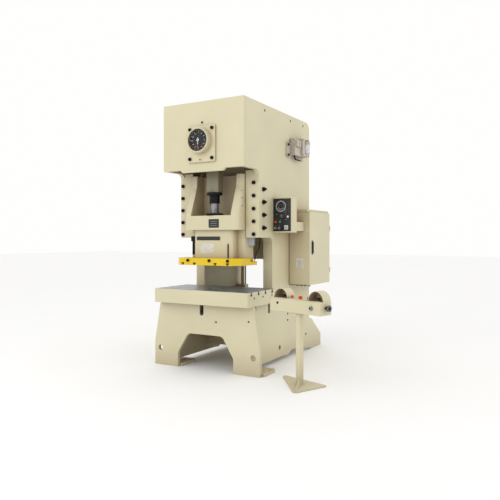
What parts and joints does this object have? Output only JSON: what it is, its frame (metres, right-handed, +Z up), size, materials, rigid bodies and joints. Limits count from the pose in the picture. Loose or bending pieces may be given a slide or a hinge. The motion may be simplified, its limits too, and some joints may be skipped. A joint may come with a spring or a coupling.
{
  "type": "mechanical stamping press",
  "caption": "Gap-frame crank press with C-shaped frame, T-slotted bolster, guided slide, crank angle dial, control panel, cabinet and free-standing two-hand control stand.",
  "frame": {"origin": "on the floor, at the centre of the four anchor holes", "axes": "+Z up, -Y towards the operator, +X to the operator's right"},
  "size_m": [2.1408, 2.2685, 2.8],
  "materials": {
    "cream_paint": "semi-gloss machine enamel",
    "yellow_paint": "gloss safety yellow enamel",
    "rod_paint": "grey-green enamel",
    "ground_steel": "ground and oiled steel",
    "dark_steel": "black oxide",
    "cast_parts": "machined casting",
    "bronze": "turned bronze",
    "black_panel": "satin black",
    "black_rubber": "matt",
    "black_plastic": "gloss",
    "red_plastic": "gloss",
    "green_plastic": "gloss",
    "grey_plastic": "satin",
    "white_plastic": "satin",
    "dial_black": "matt, graduated",
    "clear_glass": "clear",
    "pointer_paint": "enamel",
    "valve_paint": "grey enamel",
    "plate_metal": "dark anodised, blank",
    "chrome_plate": "polished"
  },
  "bodies": {
    "frame": {"bearing_walls": "cream_paint", "bed_front_plate": "cream_paint", "bed_top_plate": "cream_paint", "blow_hose": "black_rubber", "bolster": "ground_steel", "bolster_bolts": "dark_steel", "cheeks": "cream_paint", "console": "cream_paint", "console_fittings": "black_plastic", "control_panel_box": "cream_paint", "control_stand": "cream_paint", "counterbalance_cylinders": "cream_paint", "cross_plates": "cream_paint", "crown_cover": "cream_paint", "crown_front_plate": "cream_paint", "dial_face": "dial_black", "dial_glass": "clear_glass", "dial_housing": "cream_paint", "drive_belts": "black_rubber", "drive_motor": "valve_paint", "electrical_cabinet": "cream_paint", "foot_pads": "cream_paint", "frame_screws": "dark_steel", "gibs": "cream_paint", "hose_fittings": "chrome_plate", "left_side_plate": "cream_paint", "main_bearings": "bronze", "panel_face": "black_panel", "right_side_plate": "cream_paint", "service_pipes": "cream_paint", "throat_linings": "cream_paint", "valve_unit": "valve_paint"},
    "connecting_rod": {"connecting_rod": "rod_paint", "lock_nut": "dark_steel"},
    "slide": {"slide": "cream_paint", "slide_plate": "yellow_paint", "slide_fittings": "dark_steel", "slide_nameplates": "plate_metal", "counterbalance_rods": "chrome_plate"},
    "adjusting_screw": {"adjusting_screw": "ground_steel"},
    "knockout": {"knockout_bar": "dark_steel"},
    "crankshaft": {"crankshaft": "ground_steel", "main_gear": "cast_parts", "dial_pointer": "pointer_paint"},
    "rod_strap": {"rod_strap": "cast_parts"},
    "pinion_shaft": {"pinion_shaft": "ground_steel"},
    "flywheel": {"flywheel": "cast_parts"},
    "motor_pulley": {"motor_pulley": "cast_parts"},
    "cabinet_door": {"cabinet_door": "cream_paint"},
    "door_handle": {"door_handle": "black_plastic"},
    "stop_button": {"stop_button": "red_plastic"},
    "start_button": {"start_button": "green_plastic"},
    "left_selector": {"left_selector": "grey_plastic"},
    "right_selector": {"right_selector": "grey_plastic"},
    "key_switch": {"key_switch": "white_plastic"},
    "left_palm_button": {"left_palm_button": "black_plastic"},
    "right_palm_button": {"right_palm_button": "black_plastic"},
    "emergency_stop": {"emergency_stop": "red_plastic"},
    "run_button": {"run_button": "grey_plastic"},
    "inch_button": {"inch_button": "grey_plastic"}
  },
  "joints": [
    {"name": "slide_stroke", "type": "slide", "parent": "frame", "child": "connecting_rod", "axis": [0, 0, 1], "range_m": [0, 0.16]},
    {"name": "die_height_adjust", "type": "slide", "parent": "connecting_rod", "child": "slide", "axis": [0, 0, 1], "range_m": [0, 0.08]},
    {"name": "screw_turn", "type": "hinge", "parent": "slide", "child": "adjusting_screw", "pos_m": [0, -0.835, 1.541], "axis": [0, 0, 1], "range_deg": [0, 3600]},
    {"name": "knockout_lift", "type": "slide", "parent": "slide", "child": "knockout", "axis": [0, 0, 1], "range_m": [0, 0.04]},
    {"name": "crank_turn", "type": "hinge", "parent": "frame", "child": "crankshaft", "pos_m": [0, -0.835, 2.385], "axis": [0, 1, 0], "range_deg": [0, 180]},
    {"name": "strap_swing", "type": "hinge", "parent": "crankshaft", "child": "rod_strap", "pos_m": [0, -0.835, 2.305], "axis": [0, 1, 0], "range_deg": [-180, 0]},
    {"name": "pinion_turn", "type": "hinge", "parent": "frame", "child": "pinion_shaft", "pos_m": [0, -0.4, 1.9485], "axis": [0, 1, 0], "range_deg": [-984, 0]},
    {"name": "flywheel_spin", "type": "hinge", "parent": "frame", "child": "flywheel", "pos_m": [0, -0.05, 1.9485], "axis": [0, 1, 0], "continuous": true},
    {"name": "pulley_spin", "type": "hinge", "parent": "frame", "child": "motor_pulley", "pos_m": [0, -0.05, 2.56], "axis": [0, 1, 0], "continuous": true},
    {"name": "door_open", "type": "hinge", "parent": "frame", "child": "cabinet_door", "pos_m": [0.7603, 0.579, 1.2], "axis": [0, 0, 1], "range_deg": [0, 110]},
    {"name": "handle_turn", "type": "hinge", "parent": "cabinet_door", "child": "door_handle", "pos_m": [0.759, 0.04, 1.313], "axis": [1, 0, 0], "range_deg": [0, 90]},
    {"name": "stop_press", "type": "slide", "parent": "frame", "child": "stop_button", "axis": [0, 1, 0], "range_m": [0, 0.0035], "stiffness_N_per_m": 600, "springref_m": -0.001},
    {"name": "start_press", "type": "slide", "parent": "frame", "child": "start_button", "axis": [0, 1, 0], "range_m": [0, 0.0035], "stiffness_N_per_m": 600, "springref_m": -0.001},
    {"name": "left_selector_turn", "type": "hinge", "parent": "frame", "child": "left_selector", "pos_m": [0.538, -0.453, 1.489], "axis": [0, 1, 0], "range_deg": [0, 90]},
    {"name": "right_selector_turn", "type": "hinge", "parent": "frame", "child": "right_selector", "pos_m": [0.584, -0.453, 1.489], "axis": [0, 1, 0], "range_deg": [0, 90]},
    {"name": "key_turn", "type": "hinge", "parent": "frame", "child": "key_switch", "pos_m": [0.663, -0.453, 1.495], "axis": [0, 1, 0], "range_deg": [0, 90]},
    {"name": "left_palm_press", "type": "slide", "parent": "frame", "child": "left_palm_button", "axis": [0, 0, -1], "range_m": [0, 0.006], "stiffness_N_per_m": 600, "springref_m": -0.001},
    {"name": "right_palm_press", "type": "slide", "parent": "frame", "child": "right_palm_button", "axis": [0, 0, -1], "range_m": [0, 0.006], "stiffness_N_per_m": 600, "springref_m": -0.001},
    {"name": "emergency_press", "type": "slide", "parent": "frame", "child": "emergency_stop", "axis": [0, 0, -1], "range_m": [0, 0.005], "stiffness_N_per_m": 600, "springref_m": -0.001},
    {"name": "run_press", "type": "slide", "parent": "frame", "child": "run_button", "axis": [0, 0, -1], "range_m": [0, 0.004], "stiffness_N_per_m": 600, "springref_m": -0.001},
    {"name": "inch_press", "type": "slide", "parent": "frame", "child": "inch_button", "axis": [0, 0, -1], "range_m": [0, 0.004], "stiffness_N_per_m": 600, "springref_m": -0.001}
  ],
  "couplings": [
    {"joint": "crank_turn", "follows": "slide_stroke", "rad_per_m": 19.635},
    {"joint": "strap_swing", "follows": "slide_stroke", "rad_per_m": -19.635},
    {"joint": "pinion_turn", "follows": "slide_stroke", "rad_per_m": -107.34},
    {"joint": "screw_turn", "follows": "die_height_adjust", "rad_per_m": 785.4},
    {"joint": "pulley_spin", "follows": "flywheel_spin", "ratio": 5}
  ]
}
